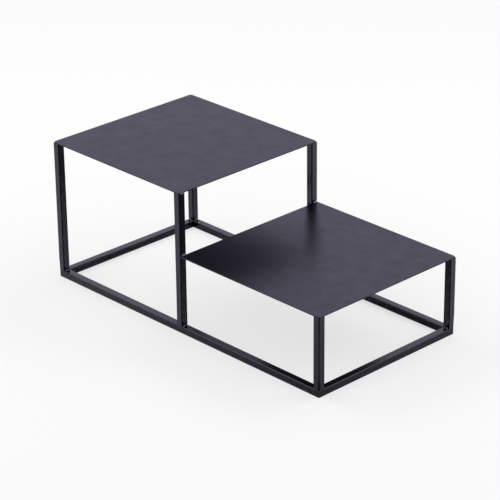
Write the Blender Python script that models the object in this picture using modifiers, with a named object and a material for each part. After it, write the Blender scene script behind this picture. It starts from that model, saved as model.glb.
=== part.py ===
"""Two-step plant stand: two flat steel shelves on a welded frame of square steel tube.

The stand rests on the floor at z = 0, with its origin under the middle of its footprint.
+X points from the high shelf to the low one, and +Y from the front to the back.
"""

import math

import bmesh
import bpy
from mathutils import Matrix, Vector

# Driving dimensions, in metres
STAND_DEPTH = 0.250
UPPER_SHELF_LENGTH = 0.250
LOWER_SHELF_LENGTH = 0.250
UPPER_SHELF_HEIGHT = 0.199
LOWER_SHELF_HEIGHT = 0.111
SHELF_THICKNESS = 0.0015
SHELF_CORNER_RADIUS = 0.005
SHELF_EDGE_RADIUS = 0.0003
TUBE_SIDE = 0.010
TUBE_WALL = 0.0015
TUBE_CORNER_RADIUS = 0.0015
TUBE_BORE_RADIUS = 0.0004
MITRE_CORNER_RADIUS = 0.003
WELD_LEG = 0.003
WELD_INSET = 0.0015
SEAM_WELD_HEIGHT = 0.0012
SEAM_WELD_HALF_LENGTH = 0.003
SEAM_WELD_HALF_WIDTH = 0.0014

# Welded faces stay this far apart
FIT_UP_GAP = 0.0003

# Facets of each rounded form
CORNER_STEPS = 4
SHELF_CORNER_STEPS = 6
EDGE_STEPS = 2
WELD_RINGS = 8
WELD_SEGMENTS = 16

# How far the mitre cutter runs past the tube
CUTTER_OVERRUN = 0.002

# A ground corner of at most this many walls still leaves steel over the bore
MITRE_RADIUS_IN_WALLS = 3.0

# Points closer than this are one point, and faces flatter than this are one face
MERGE_DISTANCE = 1e-6
FLAT_ANGLE = math.radians(1)

# A rim sharper than this is broken, and a bead is smooth up to the other angle
RIM_ANGLE = math.radians(60)
BEAD_SMOOTH_ANGLE = math.radians(50)

# The powder coat, as linear colour
COAT_COLOUR = (0.030, 0.030, 0.036, 1.0)
COAT_ROUGHNESS = 0.42
COAT_METALLIC = 0.0

# Places that follow from the dimensions
STAND_LENGTH = UPPER_SHELF_LENGTH + LOWER_SHELF_LENGTH
LEFT_FACE = -STAND_LENGTH / 2
STEP_FACE = LEFT_FACE + UPPER_SHELF_LENGTH
RIGHT_FACE = STAND_LENGTH / 2
FRONT_FACE = -STAND_DEPTH / 2
BACK_FACE = STAND_DEPTH / 2
UPPER_SHELF_UNDERSIDE = UPPER_SHELF_HEIGHT - SHELF_THICKNESS
LOWER_SHELF_UNDERSIDE = LOWER_SHELF_HEIGHT - SHELF_THICKNESS

LEG_COLUMNS = {
    "left": LEFT_FACE + TUBE_SIDE / 2,
    "mid": STEP_FACE - TUBE_SIDE / 2,
    "right": RIGHT_FACE - TUBE_SIDE / 2,
}
LEG_ROWS = {
    "front": FRONT_FACE + TUBE_SIDE / 2,
    "back": BACK_FACE - TUBE_SIDE / 2,
}
SHELF_UNDERSIDES = {
    "left": UPPER_SHELF_UNDERSIDE,
    "mid": UPPER_SHELF_UNDERSIDE,
    "right": LOWER_SHELF_UNDERSIDE,
}

# The way that each side of a leg faces
SIDES = {
    "left": Vector((-1, 0, 0)),
    "right": Vector((1, 0, 0)),
    "front": Vector((0, -1, 0)),
    "back": Vector((0, 1, 0)),
}
INNER_SIDE_OF_ROW = {"front": "back", "back": "front"}
FOOT_WELD_SIDES = {"left": ("right", "inner"), "mid": ("left", "right"), "right": ("left", "inner")}
HEAD_WELD_SIDES = {"left": ("right", "inner"), "mid": ("left", "inner"), "right": ("left", "inner")}


def clear_scene():
    """Remove every object that the file opened with."""
    for old in list(bpy.data.objects):
        bpy.data.objects.remove(old, do_unlink=True)


def new_collection(name):
    """A collection linked to the scene."""
    collection = bpy.data.collections.new(name)
    bpy.context.scene.collection.children.link(collection)
    return collection


def coat_material(name):
    """Satin charcoal powder coat."""
    material = bpy.data.materials.new(name)
    material.use_nodes = True
    shader = material.node_tree.nodes["Principled BSDF"]
    shader.inputs["Base Color"].default_value = COAT_COLOUR
    shader.inputs["Roughness"].default_value = COAT_ROUGHNESS
    shader.inputs["Metallic"].default_value = COAT_METALLIC
    return material


def add_part(name, mesh, location, rotation=(0, 0, 0)):
    """Place a mesh as a named part of the stand, with its own coat."""
    part = bpy.data.objects.new(name, mesh)
    part.location = location
    part.rotation_euler = rotation
    part.parent = stand
    parts.objects.link(part)
    if not mesh.materials:
        mesh.materials.append(None)
    part.material_slots[0].link = "OBJECT"
    part.material_slots[0].material = coat_material(name + "_coat")
    return part


def rounded_rectangle(low, high, radii, steps):
    """Corner by corner, anticlockwise from the low corner; a radius of zero leaves a corner square."""
    corners = (
        (low[0], low[1], math.pi),
        (high[0], low[1], 1.5 * math.pi),
        (high[0], high[1], 0.0),
        (low[0], high[1], 0.5 * math.pi),
    )
    middle = ((low[0] + high[0]) / 2, (low[1] + high[1]) / 2)
    outline = []
    for (x, y, start), radius in zip(corners, radii):
        if radius == 0:
            outline.append((x, y))
            continue
        centre_x = x + math.copysign(radius, middle[0] - x)
        centre_y = y + math.copysign(radius, middle[1] - y)
        for step in range(steps + 1):
            angle = start + 0.5 * math.pi * step / steps
            outline.append((centre_x + radius * math.cos(angle), centre_y + radius * math.sin(angle)))
    return outline


def filled_outline(name, loops, thickness):
    """A mesh of the plane between closed loops, extruded by a thickness about its own plane."""
    curve = bpy.data.curves.new(name, "CURVE")
    curve.dimensions = "2D"
    curve.fill_mode = "BOTH"
    curve.extrude = thickness / 2
    for loop in loops:
        spline = curve.splines.new("POLY")
        spline.points.add(len(loop) - 1)
        for point, (x, y) in zip(spline.points, loop):
            point.co = (x, y, 0, 1)
        spline.use_cyclic_u = True
    holder = bpy.data.objects.new(name, curve)
    cutters.objects.link(holder)
    mesh = evaluated_mesh(holder)
    bpy.data.objects.remove(holder, do_unlink=True)
    return mesh


def evaluated_mesh(source):
    """A copy of an object's evaluated shape, with its loose caps welded on."""
    depsgraph = bpy.context.evaluated_depsgraph_get()
    mesh = bpy.data.meshes.new_from_object(source.evaluated_get(depsgraph))
    mesh.name = source.name
    welded = bmesh.new()
    welded.from_mesh(mesh)
    bmesh.ops.remove_doubles(welded, verts=welded.verts, dist=MERGE_DISTANCE)
    bmesh.ops.recalc_face_normals(welded, faces=welded.faces)
    welded.to_mesh(mesh)
    welded.free()
    return mesh


def square_tube(name, length):
    """Tube stock centred on the Z axis, open at both ends."""
    outer = TUBE_SIDE / 2
    bore = outer - TUBE_WALL
    outer_loop = rounded_rectangle((-outer, -outer), (outer, outer), [TUBE_CORNER_RADIUS] * 4, CORNER_STEPS)
    bore_loop = rounded_rectangle((-bore, -bore), (bore, bore), [TUBE_BORE_RADIUS] * 4, CORNER_STEPS)
    return filled_outline(name, [outer_loop, bore_loop], length)


def mitre_outline(length):
    """Plan of a base rail: outer corners ground round, then 45 degree cuts to the inner side.

    The rail runs along X, its outer side lies on y = 0 and its inner side at the tube's width.
    """
    slip = FIT_UP_GAP / math.sqrt(2)
    radius = min(MITRE_CORNER_RADIUS, MITRE_RADIUS_IN_WALLS * TUBE_WALL)
    # The arc ends where it meets its own side of the mitre gap
    sweep = math.acos(slip / (radius * math.sqrt(2))) - math.pi / 4
    right_end = [(length / 2 - radius, -CUTTER_OVERRUN)]
    for step in range(CORNER_STEPS + 1):
        angle = sweep * step / CORNER_STEPS
        x = length / 2 - radius + radius * math.sin(angle)
        right_end.append((x, radius - radius * math.cos(angle)))
    inner = TUBE_SIDE + CUTTER_OVERRUN
    right_end.append((length / 2 - slip - inner, inner))
    left_end = [(-x, y) for x, y in reversed(right_end)]
    return right_end + left_end


def mitred_rail(name, length):
    """Square tube along X, sawn to its mitre outline at both ends and standing on z = 0."""
    stock_mesh = square_tube(name + "_stock", length)
    stock_mesh.transform(Matrix.Rotation(math.pi / 2, 4, "Y"))
    stock_mesh.transform(Matrix.Translation((0, TUBE_SIDE / 2, TUBE_SIDE / 2)))
    stock = bpy.data.objects.new(name, stock_mesh)
    cutter_mesh = filled_outline(name + "_mitre", [mitre_outline(length)], TUBE_SIDE + 2 * CUTTER_OVERRUN)
    cutter_mesh.transform(Matrix.Translation((0, 0, TUBE_SIDE / 2)))
    cutter = bpy.data.objects.new(name + "_mitre", cutter_mesh)
    for guide in (stock, cutter):
        guide.hide_render = True
        guide.display_type = "WIRE"
        cutters.objects.link(guide)
    cut = stock.modifiers.new("mitre", "BOOLEAN")
    cut.operation = "INTERSECT"
    cut.solver = "EXACT"
    cut.object = cutter
    return evaluated_mesh(stock)


def shelf_mesh(name, length, depth, radii):
    """A flat sheet centred on the origin, with a radius for each corner and one face on each flat."""
    low = (-length / 2, -depth / 2)
    high = (length / 2, depth / 2)
    outline = rounded_rectangle(low, high, radii, SHELF_CORNER_STEPS)
    mesh = filled_outline(name, [outline], SHELF_THICKNESS)
    sheet = bmesh.new()
    sheet.from_mesh(mesh)
    bmesh.ops.dissolve_limit(sheet, angle_limit=FLAT_ANGLE, verts=sheet.verts, edges=sheet.edges)
    sheet.to_mesh(mesh)
    sheet.free()
    return mesh


def break_edges(shelf):
    """Round the rim of a shelf a little, as a sheet is before it is coated."""
    bevel = shelf.modifiers.new("broken_edge", "BEVEL")
    bevel.width = SHELF_EDGE_RADIUS
    bevel.segments = EDGE_STEPS
    bevel.limit_method = "ANGLE"
    bevel.angle_limit = RIM_ANGLE


def weld_mesh(name, reach, half_length, half_width, cuts):
    """A bead of weld: an ellipsoid along Y, cut flat where it lies on the steel."""
    bead = bmesh.new()
    bmesh.ops.create_uvsphere(bead, u_segments=WELD_SEGMENTS, v_segments=WELD_RINGS, radius=1)
    bmesh.ops.rotate(bead, verts=bead.verts, matrix=Matrix.Rotation(math.pi / 2, 3, "X"))
    bmesh.ops.scale(bead, verts=bead.verts, vec=(reach, half_length, half_width))
    for normal in cuts:
        everything = bead.verts[:] + bead.edges[:] + bead.faces[:]
        bmesh.ops.bisect_plane(
            bead,
            geom=everything,
            dist=MERGE_DISTANCE,
            plane_co=(0, 0, 0),
            plane_no=normal,
            clear_outer=True,
        )
        rim = [edge for edge in bead.edges if edge.is_boundary]
        bmesh.ops.edgeloop_fill(bead, edges=rim)
    bmesh.ops.recalc_face_normals(bead, faces=bead.faces)
    mesh = bpy.data.meshes.new(name)
    bead.to_mesh(mesh)
    bead.free()
    mesh.shade_smooth()
    mesh.set_sharp_from_angle(angle=BEAD_SMOOTH_ANGLE)
    return mesh


def build_rails():
    """Four base rails, mitred at the corners of the footprint."""
    long_rail = mitred_rail("long_rail", STAND_LENGTH)
    short_rail = mitred_rail("short_rail", STAND_DEPTH)
    add_part("front_rail", long_rail, (0, FRONT_FACE, 0))
    add_part("back_rail", long_rail, (0, BACK_FACE, 0), (0, 0, math.pi))
    add_part("right_rail", short_rail, (RIGHT_FACE, 0, 0), (0, 0, math.pi / 2))
    add_part("left_rail", short_rail, (LEFT_FACE, 0, 0), (0, 0, -math.pi / 2))


def build_legs():
    """Six legs on the rails, flush with the outer faces, each up to the underside of its shelf."""
    foot = TUBE_SIDE + FIT_UP_GAP
    for column, x in LEG_COLUMNS.items():
        head = SHELF_UNDERSIDES[column] - FIT_UP_GAP
        leg = square_tube(column + "_leg", head - foot)
        for row, y in LEG_ROWS.items():
            add_part(f"{row}_{column}_leg", leg, (x, y, (foot + head) / 2))


def build_shelves():
    """The upper shelf lies on four legs; the lower one lies on two and butts against the mid legs."""
    rounded = SHELF_CORNER_RADIUS
    upper = shelf_mesh("upper_shelf", UPPER_SHELF_LENGTH, STAND_DEPTH, [rounded] * 4)
    upper_middle = (LEFT_FACE + STEP_FACE) / 2
    upper_level = UPPER_SHELF_HEIGHT - SHELF_THICKNESS / 2
    break_edges(add_part("upper_shelf", upper, (upper_middle, 0, upper_level)))
    lower_start = STEP_FACE + FIT_UP_GAP
    lower = shelf_mesh("lower_shelf", RIGHT_FACE - lower_start, STAND_DEPTH, [0, rounded, rounded, 0])
    lower_level = LOWER_SHELF_HEIGHT - SHELF_THICKNESS / 2
    break_edges(add_part("lower_shelf", lower, ((lower_start + RIGHT_FACE) / 2, 0, lower_level)))


def side_in_row(side, row):
    """The side of a leg that a bead lies on: the inner side is the one that faces the other row."""
    return INNER_SIDE_OF_ROW[row] if side == "inner" else side


def weld_place(column, row, side, level):
    """The point on one side of a leg, at a level, where a bead lies with its gap to the face."""
    axis = Vector((LEG_COLUMNS[column], LEG_ROWS[row], level))
    return axis + SIDES[side] * (TUBE_SIDE / 2 + FIT_UP_GAP)


def build_welds():
    """Fillet beads at the foot and head of each leg and along the step, and one on an outer seam."""
    half_length = TUBE_SIDE / 2 - WELD_INSET
    fillet = weld_mesh("fillet_weld", WELD_LEG, half_length, WELD_LEG, [(-1, 0, 0), (0, 0, -1)])
    for column in LEG_COLUMNS:
        for row in LEG_ROWS:
            foot_level = TUBE_SIDE + FIT_UP_GAP
            head_level = SHELF_UNDERSIDES[column] - FIT_UP_GAP
            ends = (
                ("foot", FOOT_WELD_SIDES[column], foot_level, 0),
                ("head", HEAD_WELD_SIDES[column], head_level, math.pi),
            )
            for end, sides, level, turn in ends:
                for side in (side_in_row(side, row) for side in sides):
                    facing = math.atan2(SIDES[side].y, SIDES[side].x)
                    name = f"weld_{row}_{column}_{end}_{side}"
                    add_part(name, fillet, weld_place(column, row, side, level), (turn, 0, facing))
    step_level = LOWER_SHELF_HEIGHT + FIT_UP_GAP
    for row in LEG_ROWS:
        add_part(f"weld_{row}_mid_step_right", fillet, weld_place("mid", row, "right", step_level))
    seam = weld_mesh(
        "seam_weld", SEAM_WELD_HEIGHT, SEAM_WELD_HALF_LENGTH, SEAM_WELD_HALF_WIDTH, [(-1, 0, 0)]
    )
    seam_level = UPPER_SHELF_UNDERSIDE - FIT_UP_GAP / 2
    add_part("weld_front_mid_seam_right", seam, weld_place("mid", "front", "right", seam_level))


clear_scene()
parts = new_collection("plant_stand")
cutters = new_collection("cutters")
stand = bpy.data.objects.new("stand_origin", None)
parts.objects.link(stand)
build_rails()
build_legs()
build_shelves()
build_welds()
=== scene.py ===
import math

import bmesh
import bpy
from mathutils import Matrix, Vector


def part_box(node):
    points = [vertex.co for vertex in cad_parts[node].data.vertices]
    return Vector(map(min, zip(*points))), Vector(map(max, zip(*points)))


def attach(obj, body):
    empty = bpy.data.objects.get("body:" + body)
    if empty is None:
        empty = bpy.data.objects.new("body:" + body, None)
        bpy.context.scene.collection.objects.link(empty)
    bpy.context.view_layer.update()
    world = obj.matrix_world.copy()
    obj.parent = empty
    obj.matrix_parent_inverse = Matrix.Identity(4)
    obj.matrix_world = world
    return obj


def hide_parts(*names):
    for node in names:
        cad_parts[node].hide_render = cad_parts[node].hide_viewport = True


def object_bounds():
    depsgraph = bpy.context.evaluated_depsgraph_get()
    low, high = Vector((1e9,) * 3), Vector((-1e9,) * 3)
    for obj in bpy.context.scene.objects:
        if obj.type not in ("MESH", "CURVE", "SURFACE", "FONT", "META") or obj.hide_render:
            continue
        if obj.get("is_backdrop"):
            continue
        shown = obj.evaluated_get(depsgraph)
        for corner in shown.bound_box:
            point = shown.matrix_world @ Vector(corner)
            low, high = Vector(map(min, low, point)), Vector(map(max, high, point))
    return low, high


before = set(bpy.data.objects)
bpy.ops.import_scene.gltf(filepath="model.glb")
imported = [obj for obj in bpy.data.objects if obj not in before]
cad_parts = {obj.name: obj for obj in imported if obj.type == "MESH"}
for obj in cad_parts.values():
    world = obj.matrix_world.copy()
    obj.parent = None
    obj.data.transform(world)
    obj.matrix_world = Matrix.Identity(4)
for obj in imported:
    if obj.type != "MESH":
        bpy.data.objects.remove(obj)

cad_low, cad_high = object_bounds()

# Base rails
# Four lengths of square steel tube that lie on the floor as one frame. Their ends are sawn at
# 45 degrees and welded, the outer corners are ground round, and the frame is powder coated.
RAIL_TURNS = {"front_rail": 0, "right_rail": 90, "back_rail": 180, "left_rail": 270}
# How much painted shade each rail carries; the back and left rails carry more.
RAIL_SHADE_SCALE = {"front_rail": 1.0, "right_rail": 1.0, "back_rail": 1.3, "left_rail": 1.5}
ARRIS_RADIUS = 0.00075
ARRIS_FADE = 0.001
GROUND_RADIUS = 0.002
ARRIS_STEPS = 6
GROUND_STEPS = 8
MITRE_RUN = 0.001
FRAME_DEEP = (0.0483, 0.0463, 0.0589, 1)
FRAME_PALE = (0.0564, 0.0541, 0.0688, 1)
# The tone of the painted shade on the frame: on the legs' arrises, on inner faces under the shelves
# and on the rails.
FRAME_PAINTED_SHADE = (0.007, 0.0067, 0.0086, 1)
FRAME_ROUGHNESS = (0.14, 0.20)
FRAME_GRAIN = (60.0, 1400.0, 0.35)
FRAME_PAINTED_SHADE_SETTINGS = (180.0, 1.0)
FRAME_PEEL = (0.12, 0.00006)
COAT_METALLIC = 1.0
COAT_GRAZE = (0.88, 0.865, 0.97, 1)
# Painted shade on the inner faces of the frame: strongest just under a shelf and fading over a reach
# below it. The rails carry some more all along, and their outer faces a share of it.
INNER_SHADE_SHARE = 0.90
INNER_SHADE_REACH = 0.30
RAIL_EXTRA_SHADE = 0.20
RAIL_OUTER_FACE_SHADE = 0.6
# Painted shade that deepens towards the front right foot of the stand.
CORNER_SHADE_SHARE = 0.50
CORNER_SHADE_REACH = 0.30

rail_low, rail_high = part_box("front_rail")
tube_side = rail_high.z - rail_low.z
upper_shelf_low, upper_shelf_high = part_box("upper_shelf")
lower_shelf_low, lower_shelf_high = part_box("lower_shelf")
mid_leg_low, mid_leg_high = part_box("front_mid_leg")
shaded_corner = Vector((cad_high.x, cad_low.y, cad_low.z))


def painted_inner_shade(point):
    """The share of painted shade on an inner face here: strongest just under the shelf above it,
    fading over a reach below.
    """
    cover = lower_shelf_low.z if point.x > mid_leg_low.x - ARRIS_RADIUS else upper_shelf_low.z
    depth = cover - point.z
    return INNER_SHADE_SHARE * (1 - depth / INNER_SHADE_REACH) if depth >= 0 else 0.0


def with_corner_shade(share, point):
    """The share of painted shade at a point, with more painted shade towards the front right foot of
    the stand.
    """
    nearness = max(0.0, 1 - (point - shaded_corner).length / CORNER_SHADE_REACH)
    return 1 - (1 - min(share, 1.0)) * (1 - CORNER_SHADE_SHARE * nearness)


def rounded_outline(low, high, radii, steps, shaded_sides=(0, 0, 0, 0), fade=0.0):
    """Points round a rectangle from its low corner, with the share of an arris and the share of
    painted shade of a side.

    The sides face -x, -y, +x and +y. A fade sets one more point on the flat beside each end of a
    corner's arc, where the share of the arris has run out.
    """
    corners = ((low[0], low[1]), (high[0], low[1]), (high[0], high[1]), (low[0], high[1]))
    middle = ((low[0] + high[0]) / 2, (low[1] + high[1]) / 2)
    outline = []
    for quarter, ((x, y), radius) in enumerate(zip(corners, radii)):
        centre_x = x + math.copysign(radius, middle[0] - x)
        centre_y = y + math.copysign(radius, middle[1] - y)
        incoming, onward = shaded_sides[quarter], shaded_sides[(quarter + 1) % 4]
        start = math.pi + quarter * math.pi / 2
        end = start + math.pi / 2
        start_x, start_y = math.cos(start), math.sin(start)
        end_x, end_y = math.cos(end), math.sin(end)
        if fade:
            across = centre_x + radius * start_x - fade * end_x
            along = centre_y + radius * start_y - fade * end_y
            outline.append((across, along, 0.0, incoming))
        for step in range(steps + 1):
            angle = start + step / steps * math.pi / 2
            across = centre_x + radius * math.cos(angle)
            along = centre_y + radius * math.sin(angle)
            outline.append((across, along, 1.0, incoming + (onward - incoming) * step / steps))
        if fade:
            across = centre_x + radius * end_x - fade * start_x
            along = centre_y + radius * end_y - fade * start_y
            outline.append((across, along, 0.0, onward))
    return outline


def skin(name, rings, crisp_ends):
    """A closed mesh over rings of points, each with its share of painted shade or painted highlight.
    """
    shape = bmesh.new()
    painted_light = shape.verts.layers.float.new("painted_light")
    rows = []
    for ring in rings:
        row = []
        for point, share in ring:
            vert = shape.verts.new(point)
            vert[painted_light] = share
            row.append(vert)
        rows.append(row)
    count = len(rows[0])
    for near, far in zip(rows, rows[1:]):
        for k in range(count):
            after = (k + 1) % count
            shape.faces.new((near[k], near[after], far[after], far[k]))
    ends = (shape.faces.new(rows[0][::-1]), shape.faces.new(rows[-1]))
    for face in shape.faces:
        face.smooth = True
    if crisp_ends:
        for edge in ends[0].edges[:] + ends[1].edges[:]:
            edge.smooth = False
    bmesh.ops.recalc_face_normals(shape, faces=shape.faces)
    mesh = bpy.data.meshes.new(name)
    shape.to_mesh(mesh)
    shape.free()
    return mesh


def fit_piece(name, mesh, material, node):
    """Put a finished mesh in the place of its solid, on the stand's one body."""
    piece = bpy.data.objects.new(name, mesh)
    bpy.context.scene.collection.objects.link(piece)
    mesh.materials.append(material)
    flats = piece.modifiers.new("even_flats", "WEIGHTED_NORMAL")
    flats.keep_sharp = True
    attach(piece, "root")
    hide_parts(node)


def add_node(tree, kind, values=(), **settings):
    """A shader node with its settings and the values of the inputs that nothing is linked to."""
    made = tree.nodes.new("ShaderNode" + kind)
    for key, value in settings.items():
        setattr(made, key, value)
    for socket, value in values:
        made.inputs[socket].default_value = value
    return made


def new_group(name, inputs, outputs):
    """An empty node group with plain number sockets, its input node and its output node."""
    tree = bpy.data.node_groups.new(name, "ShaderNodeTree")
    for socket in inputs:
        tree.interface.new_socket(socket, in_out="INPUT", socket_type="NodeSocketFloat")
    for socket in outputs:
        tree.interface.new_socket(socket, in_out="OUTPUT", socket_type="NodeSocketFloat")
    return tree, tree.nodes.new("NodeGroupInput"), tree.nodes.new("NodeGroupOutput")


GRAIN_INPUTS = ("Cloud Scale", "Grain Scale", "Grain Share")
CLOUD_NOISE = (("Detail", 5.0), ("Roughness", 0.75))
GRAIN_NOISE = (("Detail", 2.0), ("Roughness", 0.5))
TONE_STRETCH = (("From Min", 0.38), ("From Max", 0.62))


def powder_grain_group():
    """Powder coat as it cures: slow clouds of tone, and the fine orange peel of the melted grains."""
    tree, given, result = new_group("powder_grain", GRAIN_INPUTS, ("Tone", "Peel"))
    place = add_node(tree, "TexCoord")
    clouds = add_node(tree, "TexNoise", CLOUD_NOISE)
    grains = add_node(tree, "TexNoise", GRAIN_NOISE)
    blend = add_node(tree, "Mix", data_type="FLOAT")
    stretch = add_node(tree, "MapRange", TONE_STRETCH)
    link = tree.links.new
    link(place.outputs["Object"], clouds.inputs["Vector"])
    link(place.outputs["Object"], grains.inputs["Vector"])
    link(given.outputs["Cloud Scale"], clouds.inputs["Scale"])
    link(given.outputs["Grain Scale"], grains.inputs["Scale"])
    link(given.outputs["Grain Share"], blend.inputs["Factor"])
    link(clouds.outputs["Fac"], blend.inputs["A"])
    link(grains.outputs["Fac"], blend.inputs["B"])
    link(blend.outputs["Result"], stretch.inputs["Value"])
    link(stretch.outputs["Result"], result.inputs["Tone"])
    link(grains.outputs["Fac"], result.inputs["Peel"])
    return tree


PAINTED_LIGHT_INPUTS = ("Breakup Scale", "Strength")
BREAKUP_NOISE = (("Detail", 3.0),)
BREAKUP_RANGE = (("From Min", 0.3), ("From Max", 0.7), ("To Min", 0.8), ("To Max", 1.2))


def painted_light_mask_group():
    """Where painted shade or painted highlight lies: the share stored on the mesh, broken up by
    noise.
    """
    tree, given, result = new_group("marked_coat", PAINTED_LIGHT_INPUTS, ("Painted Light",))
    place = add_node(tree, "TexCoord")
    painted_light = add_node(tree, "Attribute", attribute_name="painted_light")
    breakup = add_node(tree, "TexNoise", BREAKUP_NOISE)
    patches = add_node(tree, "MapRange", BREAKUP_RANGE)
    broken = add_node(tree, "Math", operation="MULTIPLY")
    scaled = add_node(tree, "Math", operation="MULTIPLY", use_clamp=True)
    link = tree.links.new
    link(place.outputs["Object"], breakup.inputs["Vector"])
    link(given.outputs["Breakup Scale"], breakup.inputs["Scale"])
    link(breakup.outputs["Fac"], patches.inputs["Value"])
    link(painted_light.outputs["Fac"], broken.inputs[0])
    link(patches.outputs["Result"], broken.inputs[1])
    link(broken.outputs["Value"], scaled.inputs[0])
    link(given.outputs["Strength"], scaled.inputs[1])
    link(scaled.outputs["Value"], result.inputs["Painted Light"])
    return tree


powder_grain = powder_grain_group()
marked_coat = painted_light_mask_group()


def powder_coat(name, tones, roughness, grain, painted_light_settings, peel):
    """Satin charcoal powder coat: deep and pale tones, a tone for painted shade or highlight, its
    roughness, grain, breakup of the painted light, and peel.
    """
    deep, pale, painted_tone = tones
    peel_strength, peel_depth = peel
    material = bpy.data.materials.new(name)
    material.use_nodes = True
    tree = material.node_tree
    shader = tree.nodes["Principled BSDF"]
    shader.inputs["Metallic"].default_value = COAT_METALLIC
    shader.inputs["Specular Tint"].default_value = COAT_GRAZE
    cure = add_node(tree, "Group", node_tree=powder_grain)
    painted_light_node = add_node(tree, "Group", node_tree=marked_coat)
    for socket, value in zip(GRAIN_INPUTS, grain):
        cure.inputs[socket].default_value = value
    for socket, value in zip(PAINTED_LIGHT_INPUTS, painted_light_settings):
        painted_light_node.inputs[socket].default_value = value
    tone = add_node(tree, "Mix", data_type="RGBA")
    tone.inputs["A"].default_value = deep
    tone.inputs["B"].default_value = pale
    # The painted shade or highlight is mixed over the coat's own tone as far as the mesh marks it.
    painted_light_mix = add_node(tree, "Mix", data_type="RGBA")
    painted_light_mix.inputs["B"].default_value = painted_tone
    matt = add_node(tree, "MapRange", (("To Min", roughness[0]), ("To Max", roughness[1])))
    bump = add_node(tree, "Bump", (("Strength", peel_strength), ("Distance", peel_depth)))
    link = tree.links.new
    link(cure.outputs["Tone"], tone.inputs["Factor"])
    link(tone.outputs["Result"], painted_light_mix.inputs["A"])
    link(painted_light_node.outputs["Painted Light"], painted_light_mix.inputs["Factor"])
    link(painted_light_mix.outputs["Result"], shader.inputs["Base Color"])
    link(cure.outputs["Tone"], matt.inputs["Value"])
    link(matt.outputs["Result"], shader.inputs["Roughness"])
    link(cure.outputs["Peel"], bump.inputs["Height"])
    link(bump.outputs["Normal"], shader.inputs["Normal"])
    return material


frame_coat = powder_coat(
    "frame_coat",
    tones=(FRAME_DEEP, FRAME_PALE, FRAME_PAINTED_SHADE),
    roughness=FRAME_ROUGHNESS,
    grain=FRAME_GRAIN,
    painted_light_settings=FRAME_PAINTED_SHADE_SETTINGS,
    peel=FRAME_PEEL,
)


def rail_rings(length, reach):
    """Sections of a rail along X from mitre to mitre, with its outer side at y = -reach."""
    radii = [ARRIS_RADIUS] * 4
    section = (0, 0), (tube_side, tube_side)
    # Painted shade on the outer and inner faces of a rail, none on its bottom and top.
    shaded_sides = (RAIL_OUTER_FACE_SHADE, 0, 1, 0)
    outline = rounded_outline(*section, radii, ARRIS_STEPS, shaded_sides, ARRIS_FADE)
    half = []
    for step in range(GROUND_STEPS + 1):
        turn = step / GROUND_STEPS * math.pi / 4
        ring = []
        for inward, height, arris, side_shade in outline:
            radius = GROUND_RADIUS - inward
            if radius > 0:
                x = length / 2 - GROUND_RADIUS + radius * math.sin(turn)
                y = GROUND_RADIUS - radius * math.cos(turn)
            else:
                x = length / 2 - inward - MITRE_RUN * (1 - step / GROUND_STEPS)
                y = inward
            ring.append((Vector((x, y - reach, height)), side_shade, arris))
        half.append(ring)
    mirrored = []
    for ring in reversed(half):
        mirrored.append([(Vector((-point.x, point.y, point.z)), *shares) for point, *shares in ring])
    return mirrored + half


stand_size = cad_high - cad_low
for node, turn in RAIL_TURNS.items():
    across = turn % 180 != 0
    length = stand_size.y if across else stand_size.x
    reach = (stand_size.x if across else stand_size.y) / 2
    turned = Matrix.Rotation(math.radians(turn), 3, "Z")
    rings = []
    for ring in rail_rings(length, reach):
        shaded_ring = []
        for along_x, side_shade, arris in ring:
            point = turned @ along_x
            # Painted shade on the rail, deepened towards the front right foot and left off its
            # arrises.
            rail_shade = RAIL_SHADE_SCALE[node] * side_shade * (painted_inner_shade(point) + RAIL_EXTRA_SHADE)
            shaded_ring.append((point, with_corner_shade(rail_shade, point) * (1 - arris)))
        rings.append(shaded_ring)
    fit_piece(node + "_tube", skin(node, rings, crisp_ends=True), frame_coat, node)

# Legs
# Six posts of the same square tube, flush with the outer faces of the rails they are welded to.
# The joints are filled and ground, so a corner post takes the base's round corner at its foot.
LEG_COLUMNS = ("left", "mid", "right")
LEG_ROWS = ("front", "back")
OUTER_CORNER = {
    ("front", "left"): 0,
    ("front", "right"): 1,
    ("back", "right"): 2,
    ("back", "left"): 3,
}
# The share of painted shade on each side of a leg that faces into the stand.
SHADED_SIDES_ALONG = {"left": (0, 1), "mid": (1, 1), "right": (1, 0)}
SHADED_SIDES_ACROSS = {"left": 0.3, "mid": 0.8, "right": 1.0}
GROUND_BLEND = 0.020
GROUND_BLEND_STEPS = 10

leg_foot = tube_side - ARRIS_RADIUS
leg_heads = {"left": upper_shelf_low.z, "mid": upper_shelf_low.z, "right": lower_shelf_low.z}


def leg_rings(low, high, head, ground_corner, shaded_sides):
    """Sections of a leg from foot to head; a ground corner fades into the tube's own arris."""
    levels = [(leg_foot, 1.0)]
    for step in range(GROUND_BLEND_STEPS + 1):
        share = step / GROUND_BLEND_STEPS
        fade = 0.5 + 0.5 * math.cos(math.pi * share)
        levels.append((tube_side + share * GROUND_BLEND, fade))
    if head > lower_shelf_high.z:
        levels += [(lower_shelf_low.z, 0.0), (lower_shelf_high.z, 0.0)]
    levels.append((head, 0.0))
    rings = []
    for level, fade in levels:
        radii = [ARRIS_RADIUS] * 4
        if ground_corner is not None:
            radii[ground_corner] += fade * (GROUND_RADIUS - ARRIS_RADIUS)
        outline = rounded_outline(low, high, radii, ARRIS_STEPS, shaded_sides, ARRIS_FADE)
        ring = []
        for x, y, arris, side_shade in outline:
            point = Vector((x, y, level))
            # Painted shade on the arrises of a leg and on its inner faces under a shelf, deepened
            # towards the front right foot.
            ring.append((point, with_corner_shade(max(arris, side_shade * painted_inner_shade(point)), point)))
        rings.append(ring)
    return rings


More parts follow.
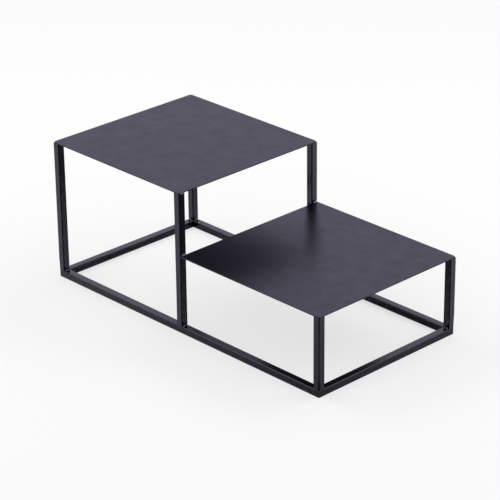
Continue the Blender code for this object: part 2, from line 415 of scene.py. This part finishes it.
for row in LEG_ROWS:
    for column in LEG_COLUMNS:
        node = f"{row}_{column}_leg"
        low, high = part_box(node)
        left, right = SHADED_SIDES_ALONG[column]
        front, back = (0, SHADED_SIDES_ACROSS[column]) if row == "front" else (SHADED_SIDES_ACROSS[column], 0)
        ground_corner = OUTER_CORNER.get((row, column))
        shaded_sides = (left, front, right, back)
        rings = leg_rings(low, high, leg_heads[column], ground_corner, shaded_sides)
        mesh = skin(node, rings, crisp_ends=True)
        fit_piece(node + "_tube", mesh, frame_coat, node)

# Shelves
# Two plates cut from 1.5 mm steel sheet, with rounded corners and broken edges, welded to the heads
# of the legs. The low one butts against the mid legs, so its two corners there are left square.
SHELF_CORNER = 0.004
SQUARE_CORNER = 0.0006
RIM_RADIUS = 0.0003
RIM_STEPS = 3
SHELF_CORNER_STEPS = 12
SHELF_DEEP = (0.0386, 0.0357, 0.0506, 1)
SHELF_PALE = (0.0510, 0.0476, 0.0666, 1)
# The tone of the painted shade along the broken rim of a shelf.
SHELF_PAINTED_SHADE = (0.024, 0.0225, 0.031, 1)
SHELF_ROUGHNESS = (0.315, 0.285)
SHELF_GRAIN = (46.0, 1400.0, 0.15)
SHELF_PAINTED_SHADE_SETTINGS = (120.0, 0.7)
SHELF_PEEL = (0.10, 0.00006)

shelf_coat = powder_coat(
    "shelf_coat",
    tones=(SHELF_DEEP, SHELF_PALE, SHELF_PAINTED_SHADE),
    roughness=SHELF_ROUGHNESS,
    grain=SHELF_GRAIN,
    painted_light_settings=SHELF_PAINTED_SHADE_SETTINGS,
    peel=SHELF_PEEL,
)


def shelf_rings(low, high, corners):
    """Outlines of a plate from its underside to its top, drawn in where its rim is broken, with
    painted shade along the rim.
    """
    rim = []
    for step in range(RIM_STEPS + 1):
        angle = step / RIM_STEPS * math.pi / 2
        inset = RIM_RADIUS * (1 - math.sin(angle))
        rise = RIM_RADIUS * (1 - math.cos(angle))
        # Painted shade along the rim, strongest halfway round it.
        rim.append((inset, rise, math.sin(2 * angle)))
    levels = [(inset, low.z + rise, share) for inset, rise, share in rim]
    levels += [(inset, high.z - rise, share) for inset, rise, share in reversed(rim)]
    rings = []
    for inset, level, share in levels:
        inner_low = (low.x + inset, low.y + inset)
        inner_high = (high.x - inset, high.y - inset)
        radii = [corner - inset for corner in corners]
        outline = rounded_outline(inner_low, inner_high, radii, SHELF_CORNER_STEPS)
        rings.append([(Vector((x, y, level)), share) for x, y, _, _ in outline])
    return rings


shelf_shapes = {
    "upper_shelf": (upper_shelf_low, upper_shelf_high, [SHELF_CORNER] * 4),
    "lower_shelf": (
        Vector((mid_leg_high.x, lower_shelf_low.y, lower_shelf_low.z)),
        lower_shelf_high,
        [SQUARE_CORNER, SHELF_CORNER, SHELF_CORNER, SQUARE_CORNER],
    ),
}
for node, (low, high, corners) in shelf_shapes.items():
    mesh = skin(node, shelf_rings(low, high, corners), crisp_ends=False)
    fit_piece(node + "_plate", mesh, shelf_coat, node)

# Weld beads
# Short fillets of weld metal in the corners at the foot and head of each leg, two more that hold the
# low shelf to the mid legs, and one across the seam under the high shelf, all coated with the frame.
WELD_PREFIX = "weld_"
SIDE_FACING = {
    "left": Vector((-1, 0, 0)),
    "right": Vector((1, 0, 0)),
    "front": Vector((0, -1, 0)),
    "back": Vector((0, 1, 0)),
}
UP = Vector((0, 0, 1))
BEAD_SECTIONS = 28
BEAD_ARC_STEPS = 8
BEAD_RIPPLES = 5
BEAD_RIPPLE_DEPTH = 0.07
BEAD_END = 0.995
BEAD_DEEP = (0.055, 0.052, 0.067, 1)
BEAD_PALE = (0.090, 0.087, 0.105, 1)
# A painted glint: a pale tone laid on the crests of the ripples, broken up by noise.
BEAD_PAINTED_GLINT = (0.220, 0.215, 0.240, 1)
BEAD_ROUGHNESS = (0.10, 0.16)
BEAD_GRAIN = (300.0, 1800.0, 0.4)
BEAD_PAINTED_GLINT_SETTINGS = (400.0, 0.8)
BEAD_PEEL = (0.10, 0.00005)
# How strong the painted glint is on each kind of bead.
BEAD_GLINT_SHARES = {"foot": 0.3, "head": 1.0, "step": 0.7, "seam": 1.0}

weld_coat = powder_coat(
    "weld_coat",
    tones=(BEAD_DEEP, BEAD_PALE, BEAD_PAINTED_GLINT),
    roughness=BEAD_ROUGHNESS,
    grain=BEAD_GRAIN,
    painted_light_settings=BEAD_PAINTED_GLINT_SETTINGS,
    peel=BEAD_PEEL,
)


def bead_rings(base, facing, rise, reach, height, half_length, sweep, glint_share):
    """Sections along a bead: a fan of points from its root, which swells with each ripple and carries
    a painted glint on each crest.
    """
    along = UP.cross(facing)
    rings = []
    for section in range(BEAD_SECTIONS + 1):
        s = BEAD_END * (2 * section / BEAD_SECTIONS - 1)
        crest = 0.5 + 0.5 * math.cos(2 * math.pi * BEAD_RIPPLES * s)
        swell = math.sqrt(1 - s * s) * (1 - BEAD_RIPPLE_DEPTH * (1 - crest))
        root = base + along * s * half_length
        ring = [(root, 0.0)]
        for step in range(BEAD_ARC_STEPS + 1):
            angle = sweep[0] + (sweep[1] - sweep[0]) * step / BEAD_ARC_STEPS
            out = facing * reach * swell * math.cos(angle)
            up = rise * height * swell * math.sin(angle)
            ring.append((root + out + up, glint_share * crest))
        rings.append(ring)
    return rings


for node in sorted(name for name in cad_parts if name.startswith(WELD_PREFIX)):
    row, column, end, side = node.removeprefix(WELD_PREFIX).split("_")
    facing = SIDE_FACING[side]
    low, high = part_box(node)
    leg_low, leg_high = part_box(f"{row}_{column}_leg")
    leg_middle = (leg_low + leg_high) / 2
    levels = {
        "foot": tube_side,
        "head": leg_heads[column],
        "step": lower_shelf_high.z,
        "seam": (low.z + high.z) / 2,
    }
    base = Vector((leg_middle.x, leg_middle.y, levels[end])) + facing * tube_side / 2
    far = low if facing.x + facing.y < 0 else high
    reach = (far - base).dot(facing)
    half_length = abs((high - low).dot(UP.cross(facing))) / 2
    rise = -UP if end == "head" else UP
    height = (high.z - base.z) if end != "head" else (base.z - low.z)
    sweep = (-math.pi / 2, math.pi / 2) if end == "seam" else (0, math.pi / 2)
    glint_share = BEAD_GLINT_SHARES[end]
    rings = bead_rings(base, facing, rise, reach, height, half_length, sweep, glint_share)
    name = node.removeprefix(WELD_PREFIX) + "_bead"
    fit_piece(name, skin(node, rings, crisp_ends=False), weld_coat, node)

# Studio floor
# A plain pale sheet that the stand rests on, large enough to fill the picture. The camera and the
# gloss of the coat both see it whiter than it is lit, and the stand's shadow stays on it.
FLOOR_HALF = 12.0
FLOOR_DROP = 0.0001
FLOOR_COLOUR = (0.86, 0.86, 0.86, 1)
FLOOR_ROUGHNESS = 0.9
FLOOR_WHITENING = 0.65
PAPER_WHITE = (1.0, 1.0, 1.0, 1)

sheet = bmesh.new()
bmesh.ops.create_grid(sheet, x_segments=1, y_segments=1, size=FLOOR_HALF)
floor_mesh = bpy.data.meshes.new("studio_floor")
sheet.to_mesh(floor_mesh)
sheet.free()
floor = bpy.data.objects.new("studio_floor", floor_mesh)
floor.location.z = cad_low.z - FLOOR_DROP
bpy.context.scene.collection.objects.link(floor)
floor_paint = bpy.data.materials.new("floor_paint")
floor_paint.use_nodes = True
paint = floor_paint.node_tree
floor_shader = paint.nodes["Principled BSDF"]
floor_shader.inputs["Base Color"].default_value = FLOOR_COLOUR
floor_shader.inputs["Roughness"].default_value = FLOOR_ROUGHNESS
floor_shader.inputs["Specular IOR Level"].default_value = 0.0
white = add_node(paint, "Emission", (("Color", PAPER_WHITE), ("Strength", 1.0)))
rays = add_node(paint, "LightPath")
seen_or_glossy = add_node(paint, "Math", operation="ADD")
seen_at_all = add_node(paint, "Math", operation="ADD", use_clamp=True)
whitening = add_node(paint, "Math", ((1, FLOOR_WHITENING),), operation="MULTIPLY")
whitened = add_node(paint, "MixShader")
paint.links.new(rays.outputs["Is Camera Ray"], seen_or_glossy.inputs[0])
paint.links.new(rays.outputs["Is Glossy Ray"], seen_or_glossy.inputs[1])
paint.links.new(seen_or_glossy.outputs["Value"], seen_at_all.inputs[0])
paint.links.new(rays.outputs["Is Transmission Ray"], seen_at_all.inputs[1])
paint.links.new(seen_at_all.outputs["Value"], whitening.inputs[0])
paint.links.new(whitening.outputs["Value"], whitened.inputs["Fac"])
paint.links.new(floor_shader.outputs["BSDF"], whitened.inputs[1])
paint.links.new(white.outputs["Emission"], whitened.inputs[2])
paint.links.new(whitened.outputs["Shader"], paint.nodes["Material Output"].inputs["Surface"])
floor_mesh.materials.append(floor_paint)
floor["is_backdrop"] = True

# Studio light
# A surround that is pale at the horizon, dim just above it, brightest at mid height and dimmer
# overhead, and two long soft boxes, one to the left of the stand and one behind it, which draw a
# bright line along the arrises of the rails.
SURROUND_STOPS = (
    (0.00, 0.80),
    (0.04, 0.75),
    (0.10, 0.26),
    (0.18, 0.32),
    (0.29, 0.98),
    (0.36, 1.12),
    (0.58, 1.08),
    (0.80, 0.58),
    (1.00, 0.45),
)
SOFT_BOX_AIM = Vector((0, 0, 0.1))
SOFT_BOX_DISTANCE = 1.8
SOFT_BOX_LENGTH = 1.8
SOFT_BOX_WIDTH = 0.6
SOFT_BOX_POWER = 9.5
SOFT_BOX_POSES = {
    "left_soft_box": (Vector((-0.66, -0.27, 0.70)), Vector((0, 1, 0))),
    "back_soft_box": (Vector((0.27, 0.63, 0.73)), Vector((1, 0, 0))),
}

world = bpy.data.worlds.new("studio")
bpy.context.scene.world = world
world.use_nodes = True
sky = world.node_tree
way_out = add_node(sky, "TexCoord")
way_up = add_node(sky, "SeparateXYZ")
sky_tones = add_node(sky, "ValToRGB")
stops = sky_tones.color_ramp.elements
stops.remove(stops[1])
stops[0].position = SURROUND_STOPS[0][0]
for level, _ in SURROUND_STOPS[1:]:
    stops.new(level)
for stop, (_, tone) in zip(stops, SURROUND_STOPS):
    stop.color = (tone, tone, tone, 1)
surround = sky.nodes["Background"]
surround.inputs["Strength"].default_value = 1.0
sky.links.new(way_out.outputs["Generated"], way_up.inputs["Vector"])
sky.links.new(way_up.outputs["Z"], sky_tones.inputs["Fac"])
sky.links.new(sky_tones.outputs["Color"], surround.inputs["Color"])
for name, (way, rail_run) in SOFT_BOX_POSES.items():
    lamp = bpy.data.lights.new(name, "AREA")
    lamp.shape = "RECTANGLE"
    lamp.size = SOFT_BOX_LENGTH
    lamp.size_y = SOFT_BOX_WIDTH
    lamp.energy = SOFT_BOX_POWER
    soft_box = bpy.data.objects.new(name, lamp)
    outward = way.normalized()
    across = outward.cross(rail_run).normalized()
    soft_box.location = SOFT_BOX_AIM + outward * SOFT_BOX_DISTANCE
    facing_in = Matrix((across.cross(outward), across, outward)).transposed()
    soft_box.rotation_euler = facing_in.to_euler()
    bpy.context.scene.collection.objects.link(soft_box)

# Camera
# A long lens about three metres away, which looks down on the stand past the corner of its low
# shelf, with a slight roll.
CAMERA_PLACE = Vector((1.9904, -1.8972, 1.3456))
CAMERA_AZIMUTH = math.radians(46.394)
CAMERA_ELEVATION = math.radians(24.724)
CAMERA_ROLL = math.radians(-0.630)
CAMERA_LENS = 164.62
CAMERA_SENSOR = 36.0

camera_data = bpy.data.cameras.new("camera")
camera_data.lens = CAMERA_LENS
camera_data.sensor_width = CAMERA_SENSOR
camera = bpy.data.objects.new("camera", camera_data)
camera.location = CAMERA_PLACE
to_the_right = Vector((math.cos(CAMERA_AZIMUTH), math.sin(CAMERA_AZIMUTH), 0))
level_ahead = UP.cross(to_the_right)
ahead = level_ahead * math.cos(CAMERA_ELEVATION) - UP * math.sin(CAMERA_ELEVATION)
upright = Matrix((to_the_right, to_the_right.cross(ahead), -ahead)).transposed()
camera.rotation_euler = (upright @ Matrix.Rotation(CAMERA_ROLL, 3, "Z")).to_euler()
bpy.context.scene.collection.objects.link(camera)
bpy.context.scene.camera = camera
bpy.context.scene.view_settings.view_transform = "Standard"

# Sizes
# The box of the dressed stand, with the floor left out.
low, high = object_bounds()
